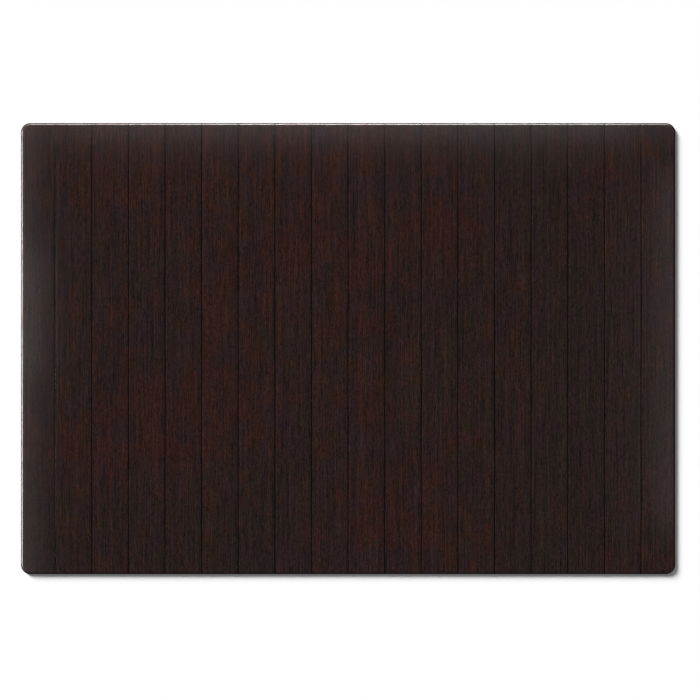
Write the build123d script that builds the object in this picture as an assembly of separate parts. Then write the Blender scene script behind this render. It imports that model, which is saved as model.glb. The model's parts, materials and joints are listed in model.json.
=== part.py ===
"""Roll-up chair mat: bamboo slats bonded side by side to a felt backing.

Millimetres. +X runs along the mat's length, across the slats. +Y runs along
the slats. +Z is up. The origin is the middle of the mat's underside, on the
floor. The felt is the hinge at every seam, so it is divided there and each
length of it moves with the slat above it.
"""
import os

from build123d import *

# Driving dimensions
SLAT_COUNT = 18
SLAT_PITCH = 100.0        # from seam to seam
END_SLAT_WIDTH = 94.0     # the two outer slats are trimmed to the mat's length
MAT_WIDTH = 1232.0        # the length of a slat
BAMBOO_THICKNESS = 6.5
FELT_THICKNESS = 1.5
CORNER_RADIUS = 25.0      # the mat's four corners, seen from above
RIM_ROUND = 6.0           # round-over along the mat's upper rim
SEAM_GAP = 0.6            # between two slats lying flat
SEAM_EASE = 1.0           # small round along both upper edges of a seam
FELT_INSET = 2.0          # the felt stops this far inside the bamboo's rim
FELT_FOLD_GAP = 2.6       # between the lengths of felt, so that they clear when a seam folds
PAST_RIM = 50.0           # how far a cutting strip runs past the mat

# Sizes that follow from them
MAT_LENGTH = (SLAT_COUNT - 2) * SLAT_PITCH + 2 * END_SLAT_WIDTH
MAT_THICKNESS = FELT_THICKNESS + BAMBOO_THICKNESS
FIRST_SEAM = -MAT_LENGTH / 2 + END_SLAT_WIDTH
SEAMS = [FIRST_SEAM + SLAT_PITCH * number for number in range(SLAT_COUNT - 1)]


def rounded_board(inset, bottom, thickness):
    """A flat board with the mat's outline, drawn in by inset, standing on the height bottom."""
    outline = RectangleRounded(MAT_LENGTH - 2 * inset, MAT_WIDTH - 2 * inset, CORNER_RADIUS - inset)
    return extrude(Pos(0, 0, bottom) * outline, thickness)


def bamboo_blank():
    """All the bamboo as one board, before the seams divide it."""
    board = rounded_board(0, FELT_THICKNESS, BAMBOO_THICKNESS)
    upper_rim = board.faces().sort_by(Axis.Z)[-1].edges()
    return fillet(upper_rim, RIM_ROUND)


def strip_ends(index, gap):
    """Where the strip of one slat starts and ends along X; the outer strips run past the rim."""
    past_rim = MAT_LENGTH / 2 + PAST_RIM
    start = SEAMS[index - 1] + gap / 2 if index > 0 else -past_rim
    end = SEAMS[index] - gap / 2 if index < SLAT_COUNT - 1 else past_rim
    return start, end


def strip(index, gap):
    """A block over the full width and height of the mat between two seams."""
    start, end = strip_ends(index, gap)
    block = Box(
        end - start,
        MAT_WIDTH + 2 * PAST_RIM,
        MAT_THICKNESS,
        align=(Align.MIN, Align.CENTER, Align.MIN),
    )
    return Pos(start, 0, 0) * block


def slat(blank, index):
    """One bamboo slat: square to its neighbours, its upper seam edges slightly rounded."""
    block = strip(index, SEAM_GAP)
    long_upper_edges = block.faces().sort_by(Axis.Z)[-1].edges().filter_by(Axis.Y)
    return blank & fillet(long_upper_edges, SEAM_EASE)


def felt(sheet, index):
    """The length of felt backing that moves with one slat."""
    return sheet & strip(index, FELT_FOLD_GAP)


def write_node(solid, name):
    """Write one sub-part as parts/NAME.step."""
    solid.label = name
    export_step(solid, os.path.join("parts", f"{name}.step"))


def main():
    os.makedirs("parts", exist_ok=True)
    blank = bamboo_blank()
    sheet = rounded_board(FELT_INSET, 0, FELT_THICKNESS)
    for index in range(SLAT_COUNT):
        number = f"{index + 1:02d}"
        write_node(slat(blank, index), f"slat_{number}")
        write_node(felt(sheet, index), f"felt_{number}")


main()
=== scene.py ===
"""Looks for the roll-up chair mat: stained bamboo slats on a felt backing.

Metres, in the CAD frame: +X across the slats, +Y along them, +Z up from the floor.
"""
import json
import math

import bpy
import numpy as np
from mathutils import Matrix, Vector, noise


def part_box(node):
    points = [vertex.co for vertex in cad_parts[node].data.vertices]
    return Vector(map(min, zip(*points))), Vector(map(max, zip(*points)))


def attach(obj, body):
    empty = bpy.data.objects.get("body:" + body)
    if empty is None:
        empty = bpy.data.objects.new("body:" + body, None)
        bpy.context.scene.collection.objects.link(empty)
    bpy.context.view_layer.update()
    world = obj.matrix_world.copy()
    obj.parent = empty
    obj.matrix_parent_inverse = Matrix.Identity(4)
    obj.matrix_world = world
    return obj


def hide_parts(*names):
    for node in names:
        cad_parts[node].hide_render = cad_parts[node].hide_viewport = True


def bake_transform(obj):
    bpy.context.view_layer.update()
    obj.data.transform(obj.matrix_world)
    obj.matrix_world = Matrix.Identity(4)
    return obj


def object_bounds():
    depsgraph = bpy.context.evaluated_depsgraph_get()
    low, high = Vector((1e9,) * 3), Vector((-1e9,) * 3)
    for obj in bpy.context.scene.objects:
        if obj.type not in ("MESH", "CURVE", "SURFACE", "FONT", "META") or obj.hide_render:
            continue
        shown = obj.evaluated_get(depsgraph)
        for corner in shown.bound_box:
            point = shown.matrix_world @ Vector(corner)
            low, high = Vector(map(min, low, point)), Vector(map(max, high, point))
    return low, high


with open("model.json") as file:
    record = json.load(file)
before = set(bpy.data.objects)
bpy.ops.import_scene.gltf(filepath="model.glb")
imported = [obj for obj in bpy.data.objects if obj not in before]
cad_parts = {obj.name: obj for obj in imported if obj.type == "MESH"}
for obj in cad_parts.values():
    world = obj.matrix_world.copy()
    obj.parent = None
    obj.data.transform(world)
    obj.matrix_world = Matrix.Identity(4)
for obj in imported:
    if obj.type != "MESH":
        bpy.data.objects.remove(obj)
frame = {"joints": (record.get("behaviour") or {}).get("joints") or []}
CAD_LOW, CAD_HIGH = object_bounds()

# ---------------------------------------------------------------- sizes, from the frame

SEAMS = sorted(joint["pos_m"][0] for joint in frame["joints"])
SLAT_COUNT = len(SEAMS) + 1
NUMBERS = [f"{number:02d}" for number in range(1, SLAT_COUNT + 1)]
HALF_LENGTH = CAD_HIGH.x
HALF_WIDTH = CAD_HIGH.y
PITCH = SEAMS[1] - SEAMS[0]
GLUE_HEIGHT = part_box("felt_02")[1].z      # where felt meets bamboo
TOP_HEIGHT = CAD_HIGH.z
FELT_INSET = HALF_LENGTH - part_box("felt_18")[1].x

# ---------------------------------------------------------------- sizes of the finer shapes

CORNER_RADIUS = 0.025
RIM_ROUND = 0.0060         # round-over along the mat's rim
SEAM_EASE = 0.0010         # rounded upper edge of a slat beside a seam
EASE_SPREAD = 0.0002       # how much that round differs from slat to slat
EDGE_WANDER = 0.00010      # how far a long edge strays from straight
CUP = 0.00010              # how much a slat is crowned or hollow across its width
LIPPAGE = 0.00005          # how much a slat stands above or below the next
RIM_STEPS = 8
EASE_STEPS = 4
CORNER_STEPS = 14
FACE_COLUMNS = 10
FACE_ROWS = 44
FELT_FOLD = 0.0025         # columns lie close together over this distance each side of a seam
FELT_FOLD_STEPS = 8
FELT_PLAIN_COLUMNS = 8     # in each part of a piece, beside the close-set columns at its seam
FELT_FUZZ = 0.00012        # unevenness of the felt's face
FELT_RAGGED = 0.0004       # unevenness of its cut edge
SHARP_ANGLE = math.radians(50)
WANDER_WAVES = 3           # waves to a metre in a long edge
RAGGED_WAVES = 60          # in the felt's cut edge
FUZZ_WAVES = 150           # over the felt's face


def wave(x, y, seed):
    """A smooth value from about -1 to 1 that depends only on its arguments."""
    return 2 * noise.noise(Vector((x, y, seed)))


def vary(index, seed):
    """A fixed value from about -1 to 1 for one slat."""
    return wave(index * 7.31 + 0.5, seed * 3.17 + 0.5, 0.5)


# ---------------------------------------------------------------- meshes

def outline_inset(y, half_width, radius):
    """How far the rounded corner draws the outline in along X, at a place along Y."""
    past = np.clip(abs(y) - (half_width - radius), 0, radius)
    return radius - math.sqrt(max(radius ** 2 - past ** 2, 0))


def rim_distance(x, y):
    """How far a point lies inside the mat's rounded outline."""
    over_x = abs(x) - (HALF_LENGTH - CORNER_RADIUS)
    over_y = abs(y) - (HALF_WIDTH - CORNER_RADIUS)
    corner = math.hypot(max(over_x, 0), max(over_y, 0))
    return CORNER_RADIUS - corner - min(max(over_x, over_y), 0)


def quarter_round(distance, radius):
    """How far a rounded edge lies below the face, at a distance in from the edge."""
    short = min(max(radius - distance, 0), radius)
    return radius - math.sqrt(radius ** 2 - short ** 2)


def round_steps(radius, steps):
    """Distances in from an edge that divide its round evenly, from 0 to the radius."""
    return [radius * (1 - math.cos(math.pi / 2 * step / steps)) for step in range(steps + 1)]


def rows_along(half_width, radius):
    """Places along Y: close together over the rim's round and the corners, wide apart between."""
    at_rim = [half_width - inset for inset in round_steps(RIM_ROUND, RIM_STEPS)]
    at_corner = [
        half_width - radius + radius * math.sin(math.pi / 2 * step / CORNER_STEPS)
        for step in range(CORNER_STEPS)
    ]
    plain = list(np.linspace(0, half_width - radius, FACE_ROWS // 2, endpoint=False))
    positive = sorted(set(at_rim + at_corner + plain))
    return [-y for y in reversed(positive) if y > 0] + positive


def closed_sheet(name, upper, lower):
    """A closed mesh between two grids of points with the same rows and columns."""
    rows, columns = len(upper), len(upper[0])
    count = rows * columns
    points = [p for row in upper for p in row] + [p for row in lower for p in row]
    faces = []
    for r in range(rows - 1):
        for c in range(columns - 1):
            a = r * columns + c
            faces.append((a, a + 1, a + columns + 1, a + columns))
            faces.append((count + a, count + a + columns, count + a + columns + 1, count + a + 1))
    loop = list(range(columns))
    loop += [r * columns + columns - 1 for r in range(1, rows)]
    loop += [(rows - 1) * columns + c for c in range(columns - 2, -1, -1)]
    loop += [r * columns for r in range(rows - 2, 0, -1)]
    for here, following in zip(loop, loop[1:] + loop[:1]):
        faces.append((here, count + here, count + following, following))
    mesh = bpy.data.meshes.new(name)
    mesh.from_pydata(points, [], faces)
    mesh.validate()
    mesh.shade_smooth()
    mesh.set_sharp_from_angle(angle=SHARP_ANGLE)
    piece = bpy.data.objects.new(name, mesh)
    bpy.context.scene.collection.objects.link(piece)
    return piece


def slat_sides(index, y):
    """Where one slat starts and ends along X, at a place along Y."""
    low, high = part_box(f"slat_{NUMBERS[index]}")
    inset = outline_inset(y, HALF_WIDTH, CORNER_RADIUS)
    left = low.x + EDGE_WANDER * wave(WANDER_WAVES * y, 0, index + 0.3)
    right = high.x + EDGE_WANDER * wave(WANDER_WAVES * y, 0, index + 40.3)
    if index == 0:
        left = -HALF_LENGTH + inset
    if index == SLAT_COUNT - 1:
        right = HALF_LENGTH - inset
    return left, right


def slat(index):
    """One bamboo slat, with its rounded rim and eased seam edges."""
    eases = [SEAM_EASE + EASE_SPREAD * vary(index, side) for side in (1, 2)]
    rounds = [round_steps(ease, EASE_STEPS) for ease in eases]
    if index == 0:
        rounds[0] = round_steps(RIM_ROUND, RIM_STEPS)
    if index == SLAT_COUNT - 1:
        rounds[1] = round_steps(RIM_ROUND, RIM_STEPS)
    cup = CUP * vary(index, 3)
    lift = LIPPAGE * vary(index, 4)
    upper, lower = [], []
    for y in rows_along(HALF_WIDTH, CORNER_RADIUS):
        left, right = slat_sides(index, y)
        inner_left, inner_right = left + rounds[0][-1], right - rounds[1][-1]
        between = list(np.linspace(inner_left, inner_right, FACE_COLUMNS + 1)[1:-1])
        places = [left + step for step in rounds[0]]
        places += between
        places += [right - step for step in reversed(rounds[1])]
        row = []
        for x in places:
            drop = quarter_round(rim_distance(x, y), RIM_ROUND)
            if index > 0:
                drop = max(drop, quarter_round(x - left, eases[0]))
            if index < SLAT_COUNT - 1:
                drop = max(drop, quarter_round(right - x, eases[1]))
            across = 2 * (x - left) / (right - left) - 1
            row.append((x, y, TOP_HEIGHT - drop + lift - cup * across ** 2))
        upper.append(row)
        lower.append([(x, y, GLUE_HEIGHT) for x in places])
    return closed_sheet(f"bamboo_slat_{NUMBERS[index]}", upper, lower)


def felt_columns(left, right, seam):
    """Places along X under two half slats: close together on each side of the seam."""
    fold = np.linspace(seam - FELT_FOLD, seam + FELT_FOLD, 2 * FELT_FOLD_STEPS + 1)
    before = np.linspace(left, seam - FELT_FOLD, FELT_PLAIN_COLUMNS, endpoint=False)
    after = np.linspace(right, seam + FELT_FOLD, FELT_PLAIN_COLUMNS, endpoint=False)[::-1]
    return [*before, *fold, *after]


def felt(index):
    """The felt across one seam, from the middle of one slat to the middle of the next."""
    seam = SEAMS[index]
    first, last = index == 0, index == len(SEAMS) - 1
    left = -HALF_LENGTH + FELT_INSET if first else seam - PITCH / 2
    right = HALF_LENGTH - FELT_INSET if last else seam + PITCH / 2
    columns = felt_columns(left, right, seam)
    half_width, radius = HALF_WIDTH - FELT_INSET, CORNER_RADIUS - FELT_INSET
    upper, lower = [], []
    for y in rows_along(half_width, radius):
        inset = outline_inset(y, half_width, radius)
        top, under = [], []
        for x in columns:
            if first:
                x = max(x, left + inset + FELT_RAGGED * wave(RAGGED_WAVES * y, 0, 7.5))
            if last:
                x = min(x, right - inset - FELT_RAGGED * wave(RAGGED_WAVES * y, 0, 9.5))
            end = y
            if abs(y) == half_width:
                ragged = 0.5 + 0.5 * wave(RAGGED_WAVES * x, y, 5.5)
                end -= math.copysign(FELT_RAGGED, y) * ragged
            top.append((x, end, GLUE_HEIGHT))
            fuzz = 0.5 + 0.5 * wave(FUZZ_WAVES * x, FUZZ_WAVES * y, 2.5)
            under.append((x, end, FELT_FUZZ * fuzz))
        upper.append(top)
        lower.append(under)
    return closed_sheet(f"felt_backing_{NUMBERS[index]}", upper, lower)


# ---------------------------------------------------------------- materials

class Shader:
    """A node material, with one short call for each kind of node it uses."""

    def __init__(self, name):
        self.material = bpy.data.materials.new(name)
        self.material.use_nodes = True
        self.tree = self.material.node_tree
        self.bsdf = self.tree.nodes["Principled BSDF"]

    def node(self, kind, sockets=None, **settings):
        """Adds a node, sets its properties, and links or sets its input sockets."""
        made = self.tree.nodes.new(kind)
        for key, value in settings.items():
            setattr(made, key, value)
        for key, value in (sockets or {}).items():
            self.put(made.inputs[key], value)
        return made

    def put(self, socket, value):
        if isinstance(value, bpy.types.NodeSocket):
            self.tree.links.new(value, socket)
        else:
            socket.default_value = value

    def math(self, operation, first, second=0.0, third=0.0):
        sockets = {0: first, 1: second, 2: third}
        return self.node("ShaderNodeMath", sockets, operation=operation).outputs[0]

    def times(self, value, factor):
        return self.math("MULTIPLY", value, factor)

    def ramp(self, value, low, high, to_low=0.0, to_high=1.0):
        """A smooth step of value from low to high, scaled to to_low and to_high."""
        sockets = {"Value": value, "From Min": low, "From Max": high}
        sockets.update({"To Min": to_low, "To Max": to_high})
        made = self.node("ShaderNodeMapRange", sockets, interpolation_type="SMOOTHSTEP")
        return made.outputs["Result"]

    def vector(self, x, y, z=0.0):
        return self.node("ShaderNodeCombineXYZ", {0: x, 1: y, 2: z}).outputs[0]

    def noise(self, x, y, z=0.0, detail=2.0, roughness=0.5):
        """Smooth noise of about 0 to 1 over coordinates that are already scaled."""
        sockets = {"Vector": self.vector(x, y, z), "Scale": 1.0}
        sockets.update({"Detail": detail, "Roughness": roughness})
        return self.node("ShaderNodeTexNoise", sockets).outputs["Fac"]

    def chance(self, value, seed):
        """One random number from 0 to 1 for each whole value."""
        sockets = {"Vector": self.vector(value, seed)}
        made = self.node("ShaderNodeTexWhiteNoise", sockets, noise_dimensions="2D")
        return made.outputs["Value"]

    def mix(self, factor, first, second):
        made = self.node("ShaderNodeMix", data_type="RGBA")
        self.put(made.inputs["Factor"], factor)
        self.put(made.inputs[6], first)
        self.put(made.inputs[7], second)
        return made.outputs[2]

    def scale(self, colour, factor):
        sockets = {"Vector": colour, "Scale": factor}
        return self.node("ShaderNodeVectorMath", sockets, operation="SCALE").outputs["Vector"]

    def bump(self, height, strength, distance):
        sockets = {"Height": height, "Strength": strength, "Distance": distance}
        return self.node("ShaderNodeBump", sockets).outputs["Normal"]


STRIPS_IN_SLAT = 16        # glued side by side, on edge, inside each slat
JOINT_IN_STRIP = 0.27      # between two knuckles of one bamboo cane
UMBER = (0.0165, 0.0090, 0.0063, 1)
CHERRY = (0.0265, 0.0076, 0.0053, 1)
PLUM = (0.0190, 0.0078, 0.0094, 1)
FIBRE_WIDTHS = (380, 430, 460, 500)     # streaks to a metre across the grain
FIBRE_LENGTHS = (4, 18, 64, 170)        # and along it, for each of those widths
FIBRE_CONTRAST = 10.6
GLUE_LINE = 0.07           # reach of a glue line, as a share of a strip
SEAM_PAINTED_SHADE = (0.0021, 0.0013)           # painted shade of the seam groove starts and is full, this far from a seam
LEAST_TONE = 0.08          # the darkest that lines and streaks together may make the stain


def grain(s, x, along):
    """Long, middling and short streaks, mixed evenly: about 0.5, a little more or less."""
    streaks = [
        s.noise(s.times(x, width), s.times(along, length), 2.0 * width)
        for width, length in zip(FIBRE_WIDTHS, FIBRE_LENGTHS)
    ]
    total = streaks[0]
    for streak in streaks[1:]:
        total = s.math("ADD", total, streak)
    return s.math("DIVIDE", total, len(streaks))


def near_whole(s, value):
    """How far a value is from the nearest whole number."""
    part = s.math("FRACT", value)
    return s.math("MINIMUM", part, s.math("SUBTRACT", 1.0, part))


def stain(s, x, y, slat_tone, slat_red, strip_tone):
    """The stain's colour, which takes unevenly: broad clouds, then blotches along the grain."""
    cloud = s.noise(s.times(x, 3.0), s.times(y, 2.4), 3.3, detail=2.0)
    cloud = s.math("MULTIPLY_ADD", x, -0.10, s.math("MULTIPLY_ADD", y, 0.10, cloud))
    blotch = s.noise(
        s.math("MULTIPLY_ADD", slat_red, 9.0, s.times(x, 24)),
        s.times(y, 13.0), 8.1, detail=4.0, roughness=0.65,
    )
    tint = s.noise(
        s.math("MULTIPLY_ADD", slat_tone, 9.0, s.times(x, 20)),
        s.times(y, 10.0), 15.7, detail=4.0, roughness=0.65,
    )
    redness = s.math("MULTIPLY_ADD", blotch, 1.1, cloud)
    redness = s.math("MULTIPLY_ADD", slat_red, 0.10, redness)
    redness = s.math("MULTIPLY_ADD", strip_tone, 0.10, redness)
    colour = s.mix(s.ramp(redness, 0.95, 1.35), UMBER, CHERRY)
    colour = s.mix(s.times(s.ramp(tint, 0.46, 0.60), 0.8), colour, PLUM)
    return colour, blotch


def knuckles(s, y, strip_shift, streaks):
    """A narrow dark line across each strip, and the paler band it lies in."""
    run = s.math("DIVIDE", s.math("MULTIPLY_ADD", strip_shift, 5.0, y), JOINT_IN_STRIP)
    from_knuckle = s.math("SUBTRACT", s.math("FRACT", run), 0.5)
    from_knuckle = s.times(from_knuckle, JOINT_IN_STRIP)
    from_knuckle = s.math("ADD", from_knuckle, s.math("MULTIPLY_ADD", streaks, 0.02, -0.01))
    from_knuckle = s.math("ABSOLUTE", from_knuckle)
    line = s.ramp(from_knuckle, 0.0035, 0.0005)
    halo = s.ramp(from_knuckle, 0.014, 0.004)
    return line, halo


def bamboo():
    """Side-pressed bamboo strips, stained dark cherry under a satin lacquer."""
    s = Shader("stained_bamboo")
    place = s.node("ShaderNodeTexCoord")
    split = s.node("ShaderNodeSeparateXYZ", {0: place.outputs["Object"]})
    x, y, z = split.outputs

    # which slat and which strip in it, counted from the first seam
    slats = s.math("DIVIDE", s.math("SUBTRACT", x, SEAMS[0]), PITCH)
    slat_id = s.math("FLOOR", slats)
    strips = s.times(slats, STRIPS_IN_SLAT)
    strip_id = s.math("FLOOR", strips)
    slat_tone = s.chance(slat_id, 1.5)
    slat_red = s.chance(slat_id, 2.5)
    strip_tone = s.chance(strip_id, 3.5)
    strip_shift = s.chance(strip_id, 4.5)

    # each strip has grain of its own, so its coordinates start somewhere else
    along = s.math("MULTIPLY_ADD", strip_shift, 13.0, y)
    along = s.math("MULTIPLY_ADD", slat_tone, 7.0, along)
    streaks = grain(s, x, along)
    fibre = s.noise(
        s.times(x, 1900), s.times(along, 22), s.times(z, 1500),
        detail=3.0, roughness=0.6,
    )
    pores = s.noise(
        s.times(x, 2300), s.times(along, 90), s.times(z, 2000),
        detail=1.0,
    )
    pores = s.ramp(pores, 0.62, 0.74)

    knuckle, knuckle_halo = knuckles(s, y, strip_shift, streaks)

    # dark lines: glue between the strips, and painted shade in the groove at each seam
    glue = s.ramp(near_whole(s, strips), GLUE_LINE, 0.0)
    # painted shade: the stain is darkened close to each seam, where the groove between slats lies
    # in shade
    seam = s.ramp(s.times(near_whole(s, slats), PITCH), *SEAM_PAINTED_SHADE)

    colour, blotch = stain(s, x, y, slat_tone, slat_red, strip_tone)
    tone = s.math("SUBTRACT", streaks, 0.5)
    tone = s.math("MULTIPLY_ADD", tone, FIBRE_CONTRAST, 1.0)
    tone = s.times(tone, s.ramp(fibre, 0.25, 0.75, 0.75, 1.25))
    tone = s.times(tone, s.ramp(strip_tone, 0.0, 1.0, 0.90, 1.10))
    tone = s.math("MULTIPLY_ADD", knuckle_halo, 0.10, tone)
    # the seam line is painted shade; pores, glue and knuckles are the bamboo's own dark marks
    for line, depth in ((pores, 0.40), (glue, 0.35), (knuckle, 0.45), (seam, 0.85)):
        tone = s.times(tone, s.math("MULTIPLY_ADD", line, -depth, 1.0))
    tone = s.math("MAXIMUM", tone, LEAST_TONE)
    s.put(s.bsdf.inputs["Base Color"], s.scale(colour, tone))

    rough = s.math("MULTIPLY_ADD", fibre, 0.16, 0.28)
    rough = s.math("MULTIPLY_ADD", blotch, 0.08, rough)
    rough = s.math("MULTIPLY_ADD", seam, 0.40, rough)
    s.put(s.bsdf.inputs["Roughness"], rough)

    relief = s.times(fibre, 0.35)
    for height, share in (
        (streaks, 0.60), (pores, -0.35), (glue, -0.30), (knuckle_halo, 0.20), (strip_tone, 0.15),
    ):
        relief = s.math("MULTIPLY_ADD", height, share, relief)
    s.put(s.bsdf.inputs["Normal"], s.bump(relief, 0.5, 0.00012))
    s.bsdf.inputs["Specular IOR Level"].default_value = 0.40
    s.bsdf.inputs["Coat Weight"].default_value = 0.25
    s.bsdf.inputs["Coat Roughness"].default_value = 0.22
    return s.material


FELT_DARK = (0.0100, 0.0094, 0.0090, 1)
FELT_PALE = (0.0380, 0.0355, 0.0335, 1)
NEEDLE_ROW = 0.0025        # the needle marks repeat over this distance across the sheet
NEEDLE_STEP = 0.0031       # and over this one along it


def needle_felt():
    """Charcoal needle-punched felt: matted fibres, faint rows of needle marks."""
    s = Shader("charcoal_felt")
    place = s.node("ShaderNodeUVMap", uv_map="flat")
    split = s.node("ShaderNodeSeparateXYZ", {0: place.outputs["UV"]})
    x, y, _ = split.outputs
    fibres = s.noise(
        s.times(x, 1400), s.times(y, 1400), detail=4.0, roughness=0.75,
    )
    tufts = s.noise(s.times(x, 320), s.times(y, 320), 4.2, detail=3.0)
    patches = s.noise(s.times(x, 22), s.times(y, 22), 1.7, detail=2.0)
    needle_row = s.math("SINE", s.times(x, 2 * math.pi / NEEDLE_ROW))
    needle_gap = s.math("SINE", s.times(y, 2 * math.pi / NEEDLE_STEP))
    needles = s.ramp(s.times(needle_row, needle_gap), 0.55, 0.95)
    level = s.math("ADD", s.times(fibres, 0.55), s.times(tufts, 0.30))
    level = s.math("MULTIPLY_ADD", patches, 0.35, level)
    colour = s.mix(s.ramp(level, 0.40, 0.85), FELT_DARK, FELT_PALE)
    colour = s.mix(s.times(needles, 0.45), colour, FELT_DARK)
    s.put(s.bsdf.inputs["Base Color"], colour)
    s.put(s.bsdf.inputs["Roughness"], s.ramp(fibres, 0.2, 0.8, 0.88, 1.0))
    relief = s.math("MULTIPLY_ADD", tufts, 0.8, fibres)
    relief = s.math("MULTIPLY_ADD", needles, -0.4, relief)
    s.put(s.bsdf.inputs["Normal"], s.bump(relief, 0.8, 0.00035))
    s.bsdf.inputs["Sheen Weight"].default_value = 0.35
    s.bsdf.inputs["Sheen Roughness"].default_value = 0.6
    s.bsdf.inputs["Specular IOR Level"].default_value = 0.15
    return s.material


def lay_flat(piece):
    """Keeps each point's place on the flat sheet as a UV map, so the pattern stays with the points
    that carry it.
    """
    layer = piece.data.uv_layers.new(name="flat")
    for loop in piece.data.loops:
        point = piece.data.vertices[loop.vertex_index].co
        layer.data[loop.index].uv = (point.x, point.y)


# ---------------------------------------------------------------- the object

def build_slats():
    finish = bamboo()
    for index, number in enumerate(NUMBERS):
        piece = slat(index)
        piece.data.materials.append(finish)
        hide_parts(f"slat_{number}")
        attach(piece, f"board_{number}")


def build_felt():
    finish = needle_felt()
    for index, seam in enumerate(SEAMS):
        piece = felt(index)
        piece.data.materials.append(finish)
        lay_flat(piece)
        under = NUMBERS[index:index + 2]
        nodes = under if index == len(SEAMS) - 1 else under[:1]
        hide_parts(*[f"felt_{number}" for number in nodes])
        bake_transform(piece)


# ---------------------------------------------------------------- the stage

FLOOR_REACH = 9.0
FLOOR_LAP = 0.012          # how far the floor runs in under the mat
FLOOR_DROP = 0.0003        # how far the floor lies below the felt


def build_floor():
    """A plain white floor that shows only shadows. It is open under the mat, where a roll hangs."""
    inner_x, inner_y = HALF_LENGTH - FLOOR_LAP, HALF_WIDTH - FLOOR_LAP
    corners = [(-1, -1), (1, -1), (1, 1), (-1, 1)]
    points = [(inner_x * a, inner_y * b, -FLOOR_DROP) for a, b in corners]
    points += [(FLOOR_REACH * a, FLOOR_REACH * b, -FLOOR_DROP) for a, b in corners]
    faces = [(k + 4, (k + 1) % 4 + 4, (k + 1) % 4, k) for k in range(4)]
    mesh = bpy.data.meshes.new("floor")
    mesh.from_pydata(points, [], faces)
    floor = bpy.data.objects.new("floor", mesh)
    bpy.context.scene.collection.objects.link(floor)
    floor.is_shadow_catcher = True
    floor.visible_shadow = False
    floor.visible_glossy = False


ROOM_LEVEL = 0.22
MIRRORED_ROOM_LEVEL = 0.13
GLOWS = (
    ((-1.0, 1.0, 0.30), 3.0, 0.5),       # the wall behind the key light
    ((1.0, -1.0, 0.40), 3.0, 0.2),       # and the one it faces
)


def build_world():
    """White to the camera, dim to everything else, with soft glows that the lacquer mirrors."""
    world = bpy.data.worlds.new("studio")
    bpy.context.scene.world = world
    world.use_nodes = True
    tree = world.node_tree
    tree.nodes.clear()
    add, link = tree.nodes.new, tree.links.new

    def maths(operation, first, second):
        made = add("ShaderNodeMath")
        made.operation = operation
        for socket, value in zip(made.inputs, (first, second)):
            if isinstance(value, bpy.types.NodeSocket):
                link(value, socket)
            else:
                socket.default_value = value
        return made.outputs[0]

    def glow(direction, narrow, level):
        """A soft light in one direction: level times cos to the power narrow."""
        dot = add("ShaderNodeVectorMath")
        dot.operation = "DOT_PRODUCT"
        link(ray.outputs["Generated"], dot.inputs[0])
        dot.inputs[1].default_value = Vector(direction).normalized()
        facing = maths("MAXIMUM", dot.outputs["Value"], 0.0)
        return maths("MULTIPLY", maths("POWER", facing, narrow), level)

    ray = add("ShaderNodeTexCoord")
    path = add("ShaderNodeLightPath")
    mirrored = MIRRORED_ROOM_LEVEL
    for direction, narrow, strength in GLOWS:
        mirrored = maths("ADD", mirrored, glow(direction, narrow, strength))
    mirrored = maths("MULTIPLY", mirrored, path.outputs["Is Glossy Ray"])
    plain = maths("MULTIPLY", maths("SUBTRACT", 1.0, path.outputs["Is Glossy Ray"]), ROOM_LEVEL)
    room = add("ShaderNodeBackground")
    link(maths("ADD", mirrored, plain), room.inputs["Strength"])
    white = add("ShaderNodeBackground")
    choose = add("ShaderNodeMixShader")
    link(path.outputs["Is Camera Ray"], choose.inputs[0])
    link(room.outputs[0], choose.inputs[1])
    link(white.outputs[0], choose.inputs[2])
    white.inputs["Color"].default_value = (1, 1, 1, 1)
    out = add("ShaderNodeOutputWorld")
    link(choose.outputs[0], out.inputs["Surface"])


KEY_STRENGTH = 7.4
KEY_ANGLE = math.radians(19)
KEY_FROM = Vector((-1, 1, 0.50))


def build_key():
    """One soft light, low over the mat's far left corner."""
    light = bpy.data.lights.new("key", "SUN")
    light.energy = KEY_STRENGTH
    light.angle = KEY_ANGLE
    key = bpy.data.objects.new("key", light)
    bpy.context.scene.collection.objects.link(key)
    key.rotation_euler = KEY_FROM.to_track_quat("Z", "Y").to_euler()
    key.visible_glossy = False


LEFT, RIGHT, FAR = Vector((-1, 0, 0)), Vector((1, 0, 0)), Vector((0, 1, 0))
RIM_STRIP = {"reach": 0.12, "rise": 30, "height": 0.055, "spread": 28}
FACE_STRIP = {"reach": 0.30, "rise": 80, "height": 0.10, "spread": 120}


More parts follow.
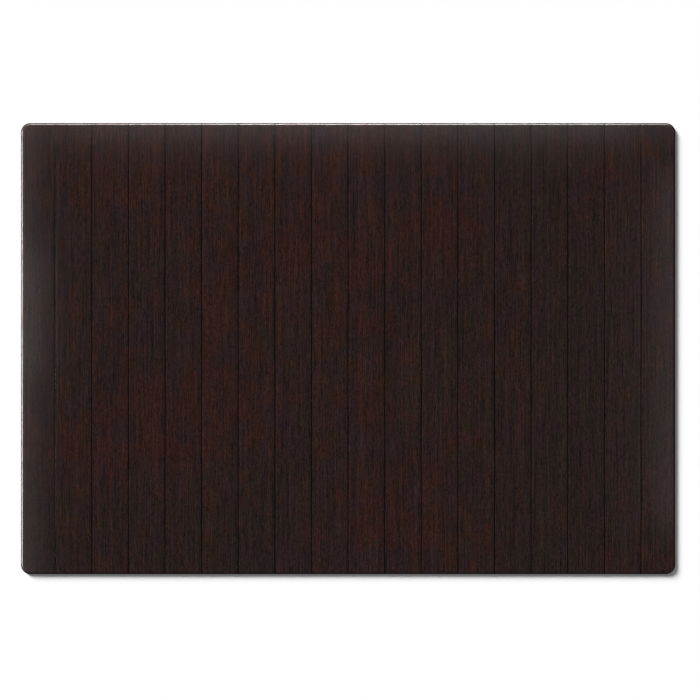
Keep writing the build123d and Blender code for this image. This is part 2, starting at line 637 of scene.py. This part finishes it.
def build_strip(name, side, shift, length, watts, shape):
    """A strip light beside one side of the mat, seen only as a highlight in the lacquer.

    It hangs at shape's reach and rise (in degrees) from the rim, turned toward it.
    """
    light = bpy.data.lights.new(name, "AREA")
    light.shape = "RECTANGLE"
    light.size = length
    light.size_y = shape["height"]
    light.spread = math.radians(shape["spread"])
    light.energy = watts
    strip = bpy.data.objects.new(name, light)
    bpy.context.scene.collection.objects.link(strip)
    rise = math.radians(shape["rise"])
    rim = Vector((side.x * HALF_LENGTH, side.y * HALF_WIDTH, TOP_HEIGHT))
    toward = side * math.cos(rise) + Vector((0, 0, math.sin(rise)))
    strip.location = rim + Vector((-side.y, side.x, 0)) * -shift + toward * shape["reach"]
    strip.rotation_euler = toward.to_track_quat("Z", "Y").to_euler()
    strip.visible_camera = False
    strip.visible_diffuse = False


def build_strips():
    """Highlights along the left and far rims, and soft gleams just inside three sides."""
    build_strip("rim_left", LEFT, 0.0, 2.2 * HALF_WIDTH, 0.68, RIM_STRIP)
    build_strip("rim_far", FAR, 0.0, 2.2 * HALF_LENGTH, 0.98, RIM_STRIP)
    build_strip("face_left", LEFT, 0.11, 0.36, 0.032, FACE_STRIP)
    build_strip("face_right", RIGHT, 0.0, 1.7 * HALF_WIDTH, 0.085, FACE_STRIP)
    build_strip("face_far", FAR, 0.0, 1.8 * HALF_LENGTH, 0.13, FACE_STRIP)


LENS = 85.0
SENSOR = 36.0
VIEW_WIDTH = 1.912         # what the picture shows across, at the mat
AIM = Vector((0.0052, -0.0038, 0))


def build_camera():
    """Straight above the mat."""
    data = bpy.data.cameras.new("camera")
    data.lens = LENS
    data.sensor_width = SENSOR
    camera = bpy.data.objects.new("camera", data)
    bpy.context.scene.collection.objects.link(camera)
    camera.location = AIM + Vector((0, 0, TOP_HEIGHT + VIEW_WIDTH * LENS / SENSOR))
    bpy.context.scene.camera = camera


build_slats()
build_felt()
build_floor()
build_world()
build_key()
build_strips()
build_camera()
bpy.context.scene.view_settings.view_transform = "Standard"
